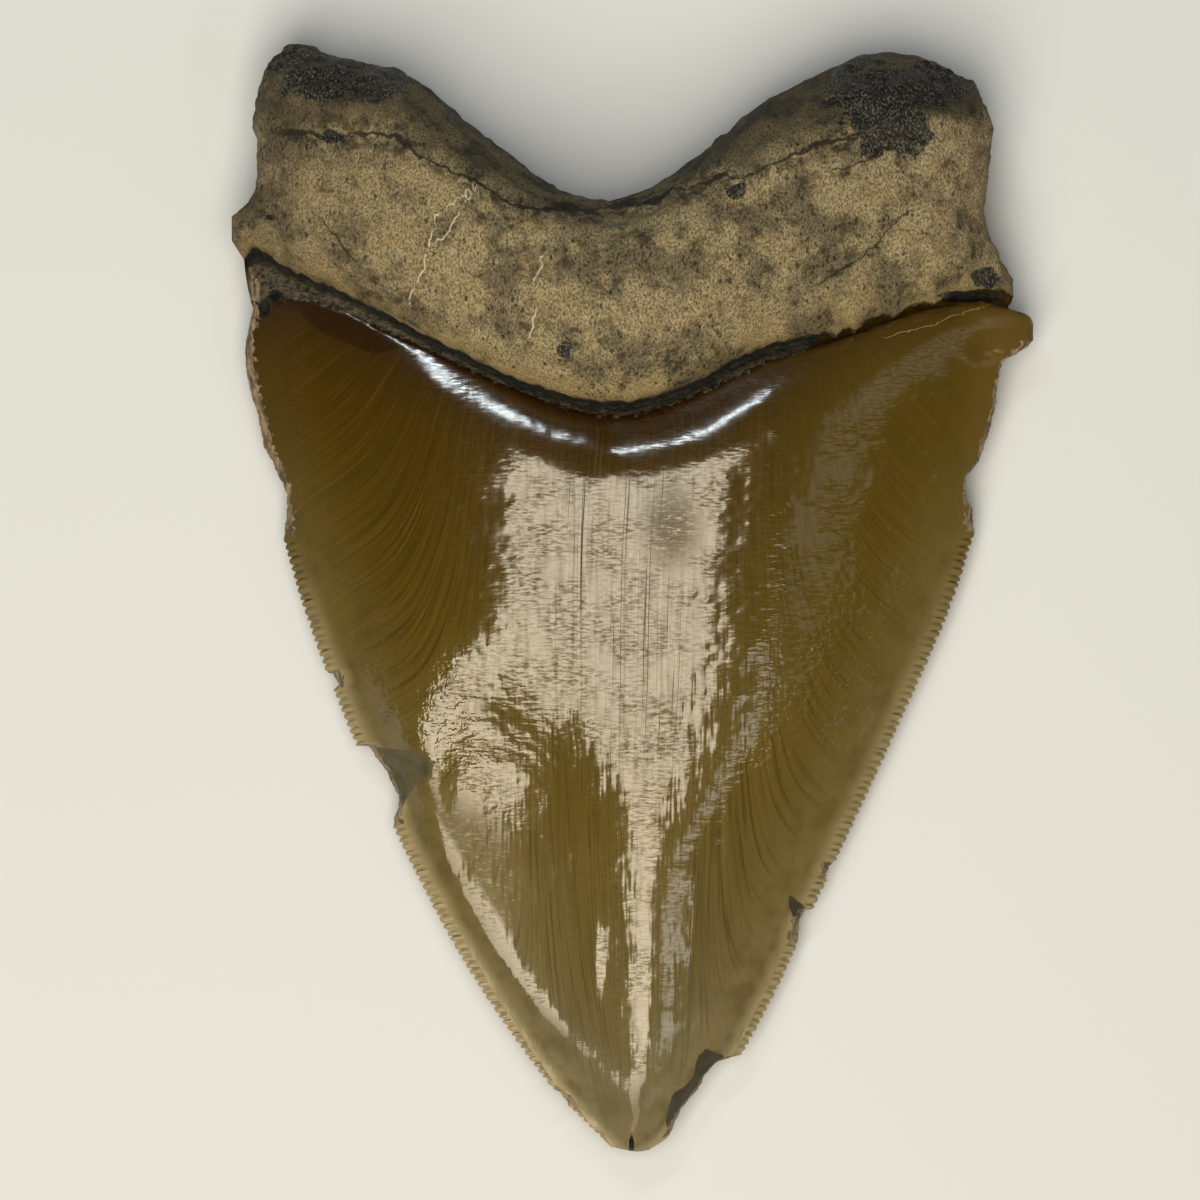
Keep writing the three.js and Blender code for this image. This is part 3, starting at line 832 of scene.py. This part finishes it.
def painted(tone, coats):
    """A tone under coats of paint, each with its mask and its colour."""
    for mask, paint in coats:
        tone = mask.mix(tone, colour(*paint))
    return tone


def mark(wire, name):
    return wire.node("ShaderNodeAttribute", {"attribute_name": name}, out=2)


def noise(vector, scale, detail=3.0, roughness=0.55):
    return vector.node("ShaderNodeTexNoise", {},
                       {"Vector": vector, "Scale": scale, "Detail": detail, "Roughness": roughness})


def bumped(height):
    """The normal over small heights, given in millimetres."""
    return height.node("ShaderNodeBump", {}, {"Strength": 1.0, "Distance": MM, "Height": height})


def surface(tone, rough, normal, ior):
    return normal.node("ShaderNodeBsdfPrincipled", {}, {
        "Base Color": tone, "Roughness": rough, "Normal": normal, "IOR": ior})


print("white card as shaders see it", [round(c, 3) for c in colour(255, 255, 255)])

# %% [markdown]
# ### Bone
# Bone is a tan, gritty ground with dark pores, grey stains and a little rust, richer along the lip and
# darker above the long crack. One noise could give grit and stains, but they differ in size by twenty
# times, so each has its own.

# %% The ground of the bone
def bone_ground(place, x, crest, grit, stain, blotch):
    lip = mark(place, "lip")
    tall = place.scaled(1.0, 0.55, 0.8)
    cells = tall.node("ShaderNodeTexVoronoi", {}, {"Vector": tall, "Scale": 0.9})
    chance = cells.other("Color").part(0)
    mid_lip = (1 - lip.ramp(1.0, 7.0)) * (1 - abs(x).ramp(4.0, 15.0))
    fleck = noise(place.scaled(1.6, 0.9, 1.3), 1.9, 2.0, 0.6)
    speck = (fleck + stain * 0.5 + mid_lip * 0.06).ramp(0.88, 0.95)
    pore = (1 - (cells + grit * 0.4).ramp(0.3, 0.46)) * (chance + stain + mid_lip * 0.2).ramp(0.9, 1.15)
    return painted(grit.ramp(0.34, 0.64).mix(colour(78, 71, 54), colour(166, 153, 121)), [
        (blotch.ramp(0.44, 0.7) * 0.35, (128, 102, 58)),  # rust
        ((1 - lip.ramp(0.4, 3.6)) * 0.45, (126, 108, 66)),  # tan along the lip
        (stain.ramp(0.42, 0.62) * 0.62, (62, 58, 48)),  # stains
        (blotch.ramp(0.5, 0.66) * stain.ramp(0.4, 0.58) * 0.75, (46, 43, 35)),  # their dark middles
        ((1 - x.ramp(-42.0, -16.0)) * 0.25, (72, 62, 42)),  # brown left end
        (crest.ramp(-0.6, 3.0) * (0.55 + 0.12 * x.ramp(-20.0, 20.0)), (44, 41, 32)),  # above the crack
        (speck.math("MAXIMUM", pore) * 0.8, (30, 27, 20)),  # pores
    ])


print("finish:", bone_ground.__name__)

# %% [markdown]
# A long crack with a dark halo follows the root's arch, and short cracks and white traces lie elsewhere. A
# crack is where the distance from its line is nearly 0, and a noise added to that distance makes it waver.
# Black, silvery patches cover the worn ends of both lobes.

# %% Bone with its cracks, traces and patches
def thin_line(place, name, waver, width, fades):
    """1 on a line of the plan, with ends that fade out at a plain distance from it."""
    start, end = width
    return (1 - abs(mark(place, name) + waver).ramp(start, end)) * (
        1 - mark(place, name + "_near").ramp(*fades))


def bone(place):
    x, crest = place.part(0), mark(place, "crest")
    grit = noise(place.scaled(1.2, 0.8, 1.0), 3.6, 3.0, 0.75)
    stain = noise(place, 0.17, 3.0, 0.62)
    blotch = noise(place, 0.6, 3.0, 0.65)
    wander = noise(place, 1.1, 2.0) - 0.5
    width = stain.ramp(0.4, 0.7) * 0.3 + 0.07
    ends = x.ramp(-41.5, -39.0) * (1 - x.ramp(25.0, 28.0)) * mark(place, "face").ramp(-0.5, 0.5)
    long_crack = (1 - (abs(crest + wander * 0.8) - width).ramp(0.0, 0.15)) * ends
    halo = (1 - abs(crest + wander).ramp(0.2, 2.2)) * blotch.ramp(0.4, 0.6) * ends * 0.75
    short_crack = thin_line(place, "crack", wander * 0.6, (0.02, 0.16), (0.7, 1.1))
    crack = long_crack.math("MAXIMUM", short_crack).math("MAXIMUM", halo)
    white = thin_line(place, "trace", wander * 0.2, (0.03, 0.13), (0.4, 0.7)) * blotch.ramp(0.4, 0.5)
    black = (mark(place, "patch") + (blotch - 0.5) * 1.7 + (grit - 0.5) * 0.5).ramp(-0.06, 0.16)
    tone = painted(bone_ground(place, x, crest, grit, stain, blotch), [
        (crack * 0.88, (28, 25, 20)), (white * 0.75, (204, 196, 174))])
    soot = grit.ramp(0.48, 0.7).mix(colour(8, 8, 8), colour(112, 111, 104))
    tone = (black * 0.95).mix(tone, soot)
    return surface(tone, 0.84 - black * 0.4, bumped(grit * 0.16), 1.28)


print("finish:", bone.__name__)

# %% [markdown]
# ### Neck band
# The neck band is a groove with a black-green shadow under the lip and a grey, crumbly fringe on the enamel.
# The fringe's border is the distance from the lip plus coarse noise, so crumbs reach into the shadow.

# %% Neck band
def neck_band(place):
    rough = noise(place, 1.1, 4.0, 0.7)
    crumbs = noise(place.scaled(0.7, 1, 1), 2.4, 3.0, 0.7)
    dark = rough.ramp(0.35, 0.75).mix(colour(12, 14, 10), colour(44, 45, 38))
    pale = crumbs.ramp(0.32, 0.7).mix(colour(26, 25, 19), colour(90, 85, 70))
    fringe = 1 - (mark(place, "lip") + rough * 1.6 - 0.8).ramp(-1.5, -0.5)
    return surface(fringe.mix(dark, pale), 0.7, bumped(rough * 0.4 + crumbs * 0.25), 1.28)


print("finish:", neck_band.__name__)

# %% [markdown]
# ### Enamel
# Enamel is smooth and glassy. Its amber is darkest under the neck, partly as painted shade of the lip there,
# and pales to grey-olive at the tip and the edges. Fine growth lines sweep over it. They are one noise,
# stretched along the growth lines by a vector that is made from the attributes, where stripes on Object
# coordinates would run straight.

# %% The colour of the enamel
CROWN_LENGTH = 88
# The first stops, darkest just under the neck, are partly painted shade of the lip; the rest is the enamel's
# own amber.
AMBER_AND_NECK_SHADE = [
    (0.0, (36, 17, 0)), (0.035, (51, 34, 0)), (0.1, (62, 46, 0)), (0.32, (77, 62, 10)),
    (0.55, (91, 77, 31)), (0.78, (96, 86, 51)), (1.0, (106, 100, 77))]


def enamel_colour(place, x, below, gap, fine):
    stops = [(spot, colour(*tone)) for spot, tone in AMBER_AND_NECK_SHADE]
    tone = below.node("ShaderNodeValToRGB", {"stops": stops}, {0: below / CROWN_LENGTH})
    edge = (1 - gap.ramp(1.0, 12.0)) * below.ramp(10.0, 34.0)
    cloud = noise(place, 0.28, 2.5, 0.6)
    # The saw teeth's own paler enamel, made brighter as painted glint along them.
    rim = (1 - gap.ramp(0.4, 3.0)) * below.ramp(24.0, 46.0)
    # How far below the neck the painted shadow of the root's lip reaches, on the left.
    lip_shadow_depth = x.ramp(-41.0, -35.0) * (1 - x.ramp(-30.0, -24.5)) * 3.4
    return painted(tone, [
        (edge * (0.25 + 0.28 * x.ramp(-12.0, 12.0)), (116, 105, 70)),  # grey-olive edges
        (edge * cloud.ramp(0.42, 0.66) * 0.5, (66, 54, 22)),  # clouds in them
        (rim * 0.75, (162, 150, 120)),  # pale rim of the saw teeth, brightened partly as painted glint
        (fine.ramp(0.48, 0.7) * gap.ramp(2.0, 12.0) * 0.52, (46, 32, 0)),  # dark growth lines
        ((1 - fine.ramp(0.25, 0.48)) * 0.14, (126, 104, 44)),  # pale growth lines
        (x.ramp(8.0, 30.0) * 0.3, (104, 88, 32)),  # right side
        (x.ramp(36.0, 41.0) * 0.35, (104, 82, 32)),  # right corner
        ((1 - (below - lip_shadow_depth).ramp(-0.3, 0.15)) * 0.65, (32, 16, 0)),  # painted shadow cast by the lip below the neck
    ])


print("amber stops", len(AMBER_AND_NECK_SHADE))

# %% [markdown]
# A mirror-smooth crown would look like plastic. The real one has dimples, fine ripples, streaks and
# crinkled flanks, all far less than a millimetre high, so they are bump here and not mesh.

# %% Ripples of the enamel
def enamel_relief(place, below, gap):
    """The normal, and what the polish follows: dimples, streaks and the tops of the crinkles."""
    ripple = noise(place.scaled(0.55, 2.0, 1), 1.0, 1.5, 0.6)
    dimples = noise(place, 0.22, 2.0)
    crinkle = noise(place, 1.1, 2.0, 0.6)
    streak = noise(place.scaled(1.6, 0.12, 1), 0.9, 1.0)
    flank = gap.ramp(3.0, 7.0) * (1 - gap.ramp(13.0, 19.0))
    crinkled = flank * below.ramp(26.0, 34.0) * (1 - below.ramp(46.0, 56.0))
    calm = (0.3 + 0.7 * below.ramp(5.0, 11.0)) * (1 - 0.6 * below.ramp(38.0, 58.0))
    waves = ripple * (0.055 * dimples.ramp(0.3, 0.62) * calm + 0.06 * crinkled) + crinkle * crinkled * 0.16
    height = waves + dimples * (0.06 + 0.13 * below.ramp(5.0, 11.0)) + streak * below.ramp(22.0, 36.0) * 0.04
    return bumped(height), dimples, streak, crinkled * crinkle.ramp(0.46, 0.6)


print("relief:", enamel_relief.__name__)

# %% [markdown]
# Wear has left the polish in patches: a satin grain, a dull oval high on the right, worn edges and tip, a
# rubbed zone low on the left, and hairline splits down the middle. Roughness alone would only blur the
# reflections. A polished and a dull shader, mixed by a mask of the scuffs, break them up instead.

# %% Enamel, polished and scuffed
# The oval's middle is counted in its own half sizes.
OVAL_MIDDLE, OVAL_SIZE = (1.12, 1.45), (4.0, 5.6)
POLISHED_IOR, DULL_IOR = 1.7, 1.25


def scuffs(x, y, below, gap, worn, split, satin, relief):
    """Where the enamel has lost its polish."""
    dimples, streak, crinkle_tops = relief
    across, along = x / OVAL_SIZE[0] - OVAL_MIDDLE[0], y / OVAL_SIZE[1] - OVAL_MIDDLE[1]
    oval = 1 - (across * across + along * along + satin * 1.5).ramp(0.7, 2.1)
    rubbed = (gap - below * 0.22).ramp(-8.8, -6.6) * (1 - x.ramp(-10.0, -6.0)) * below.ramp(49.0, 58.0)
    rubbed = rubbed * (0.65 + 0.5 * satin.ramp(0.25, 0.5))
    mask = satin.ramp(0.38, 0.66) * (0.25 + 0.75 * dimples.ramp(0.34, 0.62)) + streak.ramp(0.5, 0.7) * 0.3
    worn = worn * (1 - crinkle_tops * 0.8)
    for also in (oval * satin.ramp(0.2, 0.6) * 1.1, worn, split * 1.2, rubbed):
        mask = mask.math("MAXIMUM", also)
    return mask


def enamel(place):
    x, y = place.part(0), place.part(1)
    below, gap, growth = mark(place, "below"), mark(place, "gap"), mark(place, "growth")
    along_growth = {0: growth * 160, 1: below * 0.025, 2: mark(place, "face")}
    lines = place.node("ShaderNodeCombineXYZ", {}, along_growth)
    fine = noise(lines, 2.7, 2.0, 0.6)
    hair = noise(lines.scaled(1, 0.4, 1), 0.34, 1.0)
    middle = (1 - abs(growth).ramp(0.1, 0.3)) * below.ramp(4.0, 9.0) * (1 - below.ramp(36.0, 60.0))
    split = (1 - (hair * 12).math("PINGPONG", 0.5).ramp(0.012, 0.07)) * middle
    pale_crack = thin_line(place, "trace", (fine - 0.5) * 0.3, (0.01, 0.07), (0.4, 0.7))
    tone = painted(enamel_colour(place, x, below, gap, fine), [
        (split * 0.8, (22, 15, 5)), (pale_crack * 0.5, (186, 160, 110))])
    normal, *relief = enamel_relief(place, below, gap)
    satin = noise(place.scaled(0.7, 3.0, 1), 1.5, 1.5, 0.7)
    worn = (1 - gap.ramp(1.0, 9.0)).math("MAXIMUM", below.ramp(73.0, 80.0))
    mask = scuffs(x, y, below, gap, worn, split, satin, relief)
    polished = surface(tone, 0.07 + satin * 0.12, normal, POLISHED_IOR)
    dull = surface(tone, 0.35 + worn * 0.3, normal, DULL_IOR)
    return mask.node("ShaderNodeMixShader", {}, {0: mask * 0.85, 1: polished, 2: dull})


print("finish:", enamel.__name__)

# %% [markdown]
# ### Breaks
# Where the edge has broken, the tan, gritty core of the tooth shows. Flake scars are grey-green and less
# shiny than the enamel around them, and the deepest hollows and slits are painted nearly black as shade.

# %% Broken edge, scar and hollow
def broken_edge(place):
    grit = noise(place, 1.6, 4.0, 0.65)
    layer = noise(place.scaled(1.6, 0.6, 3), 0.8, 3.0)
    core = layer.ramp(0.35, 0.65).mix(colour(72, 61, 44), colour(138, 120, 94))
    tone = painted(core, [(grit.ramp(0.56, 0.7) * 0.8, (34, 28, 20))])
    return surface(tone, 0.6, bumped(grit * 0.35), 1.5)


def flake_scar(place):
    shade = noise(place, 0.5, 3.0)
    tone = mark(place, "below").ramp(58.0, 70.0).mix(colour(80, 75, 50), colour(60, 57, 40))
    tone = painted(tone, [(shade.ramp(0.4, 0.7) * 0.5, (36, 34, 24))])
    return surface(tone, 0.5, bumped(shade * 0.2), 1.35)


# Nearly black, as painted shade in the slits and gaps.
def hollow_shade(place):
    return surface(colour(12, 10, 8), 0.8, bumped(noise(place, 1.5) * 0.1), 1.4)


print("finishes:", broken_edge.__name__, flake_scar.__name__, hollow_shade.__name__)

# %% [markdown]
# ### One material
# The finishes lie over each other like coats of paint, each with its mask. With Mix Shader nodes, only the
# finishes that a spot needs are worked out.

# %% One material from the finishes
def tooth_material():
    material = bpy.data.materials.new("fossil_tooth")
    material.use_nodes = True
    tree = material.node_tree
    tree.nodes.clear()
    place = Wire(tree).node("ShaderNodeTexCoord", out=3).scaled(1000, 1000, 1000)
    lip, below, gap = mark(place, "lip"), mark(place, "below"), mark(place, "gap")
    jag = noise(place, 1.2, 2.5, 0.6) - 0.5
    shader = neck_band(place)
    layers = [
        (enamel, (below + jag * 2.4 + place.part(0).ramp(19.0, 24.0) * 2.0).ramp(-0.05, 0.05)),
        (bone, (lip + jag * 0.4).ramp(-0.08, 0.08)),
        (flake_scar, (mark(place, "scar") + jag * 0.25).ramp(-0.04, 0.04)),
        (broken_edge, mark(place, "broken") * (1 - (gap - 1.0 + jag * 2.8).ramp(0.0, 0.15))),
        (hollow_shade, (mark(place, "hollow") + jag * 0.6).ramp(0.0, 0.3)),
    ]
    for finish, mask in layers:
        shader = place.node("ShaderNodeMixShader", {}, {0: mask, 1: shader, 2: finish(place)})
    place.node("ShaderNodeOutputMaterial", {}, {"Surface": shader})
    return material


fossil = tooth_material()
print(fossil.name, len(fossil.node_tree.nodes), "nodes")

# %% [markdown]
# ## Run the trees
# Modifiers run in order: saw teeth first, then the bone's relief. A Geometry Nodes modifier keeps its
# inputs under socket identifiers, so the names are looked up. The result becomes a plain mesh, and the
# modifiers go. Its points are kept inside the box of the solid that it replaces.

# %% From trees to a plain mesh
SAW = {"Pitch": 0.86, "Depth": 0.42, "Ridge": 0.5, "Reach": 1.5, "Seed": 3.0, "Material": fossil}
RELIEF = {"Pit spacing": 1.5, "Pit depth": 0.3, "Grain depth": 0.3, "Seed": 7.0, "Material": fossil}
SHARP_DEGREES = 48


def add_tree(piece, tree, values):
    modifier = piece.modifiers.new(tree.name, "NODES")
    modifier.node_group = tree
    for item in tree.interface.items_tree:
        if item.in_out == "INPUT" and item.name in values:
            modifier[item.identifier] = values[item.name]


add_tree(skin, saw_teeth, SAW)
add_tree(skin, bone_relief, RELIEF)
graph = bpy.context.evaluated_depsgraph_get()
evaluated = skin.evaluated_get(graph)
plain = bpy.data.meshes.new_from_object(evaluated, preserve_all_data_layers=True, depsgraph=graph)
skin.modifiers.clear()
skin.data = plain
plain.name = "fossil_tooth"
spots = np.empty(3 * len(plain.vertices))
plain.vertices.foreach_get("co", spots)
spots = np.clip(spots.reshape(-1, 3), cad_box[0], cad_box[1])
plain.vertices.foreach_set("co", spots.ravel())
plain.polygons.foreach_set("use_smooth", np.ones(len(plain.polygons), bool))
plain.set_sharp_from_angle(angle=np.radians(SHARP_DEGREES))
plain.materials.clear()
plain.materials.append(fossil)
print("triangles", sum(len(p.vertices) - 2 for p in plain.polygons))

# %% [markdown]
# ## Stage, light and camera
# The tooth lies on a pale table, a large plane just below it, so that the two don't flicker where they touch.

# %% Table
bpy.ops.mesh.primitive_plane_add(size=4, location=(0, 0, -0.0002))
table = bpy.context.object
table.name = "table"
card = bpy.data.materials.new("pale_card")
card.use_nodes = True
card_surface = card.node_tree.nodes["Principled BSDF"]
card_surface.inputs["Base Color"].default_value = colour(203, 209, 220)
card_surface.inputs["Roughness"].default_value = 0.9
table.data.materials.append(card)
print("table", table.dimensions[:])

# %% [markdown]
# A glossy thing is lit by what it mirrors. A large warm softbox beside the camera is the bright panel on
# the enamel, and a cool strip beyond the root draws the line below the neck. Two weak lamps give the pale
# haze on the right. Point lamps would leave hot dots instead.

# %% Lights
def area_light(name, place, size, watts, tint, target=(0, 0, 0.01)):
    lamp = bpy.data.lights.new(name, "AREA")
    lamp.shape, lamp.size, lamp.size_y = "RECTANGLE", size[0], size[1]
    lamp.energy, lamp.color = watts, tint
    holder = bpy.data.objects.new(name, lamp)
    holder.location = place
    holder.rotation_euler = (Vector(target) - Vector(place)).to_track_quat("-Z", "Y").to_euler()
    holder.visible_camera = False
    bpy.context.scene.collection.objects.link(holder)
    return holder


lights = [
    area_light("softbox", (-0.08, -0.21, 0.62), (0.46, 0.8), 9.0, (1.0, 0.885, 0.67)),
    area_light("root_strip", (-0.12, 0.5, 0.62), (0.34, 0.055), 1.2, (0.86, 0.96, 1.0)),
    area_light("side_fill", (0.76, -0.04, 0.62), (0.36, 0.34), 0.25, (0.97, 1.0, 0.78)),
    area_light("side_strip", (0.41, -0.31, 0.62), (0.22, 0.12), 0.28, (1.0, 0.94, 0.8)),
]
world = bpy.data.worlds.new("dim_room")
world.use_nodes = True
world.node_tree.nodes["Background"].inputs["Color"].default_value = (1, 1, 1, 1)
world.node_tree.nodes["Background"].inputs["Strength"].default_value = 0.04
bpy.context.scene.world = world
print("lights", [light.name for light in lights])

# %% [markdown]
# The camera looks straight down from far above through a long lens, so the thick root isn't drawn larger
# than the thin tip. The lens follows from the width of the picture in millimetres.

# %% Camera
PICTURE_WIDTH = 1200 * 0.1146
FRAME_CENTRE = (-3.72, -0.23)
CAMERA_HEIGHT, FOCUS_HEIGHT = 1500.0, 6
SENSOR = 36
camera_data = bpy.data.cameras.new("camera")
camera_data.sensor_width = SENSOR
camera_data.lens = SENSOR * (CAMERA_HEIGHT - FOCUS_HEIGHT) / PICTURE_WIDTH
camera = bpy.data.objects.new("camera", camera_data)
camera.location = (FRAME_CENTRE[0] * MM, FRAME_CENTRE[1] * MM, CAMERA_HEIGHT * MM)
bpy.context.scene.collection.objects.link(camera)
bpy.context.scene.camera = camera
bpy.context.scene.view_settings.view_transform = "Standard"
print("lens", round(camera_data.lens, 1))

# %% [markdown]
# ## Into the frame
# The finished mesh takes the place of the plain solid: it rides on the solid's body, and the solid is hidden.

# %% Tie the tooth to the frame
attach(skin, "root")
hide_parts("tooth")
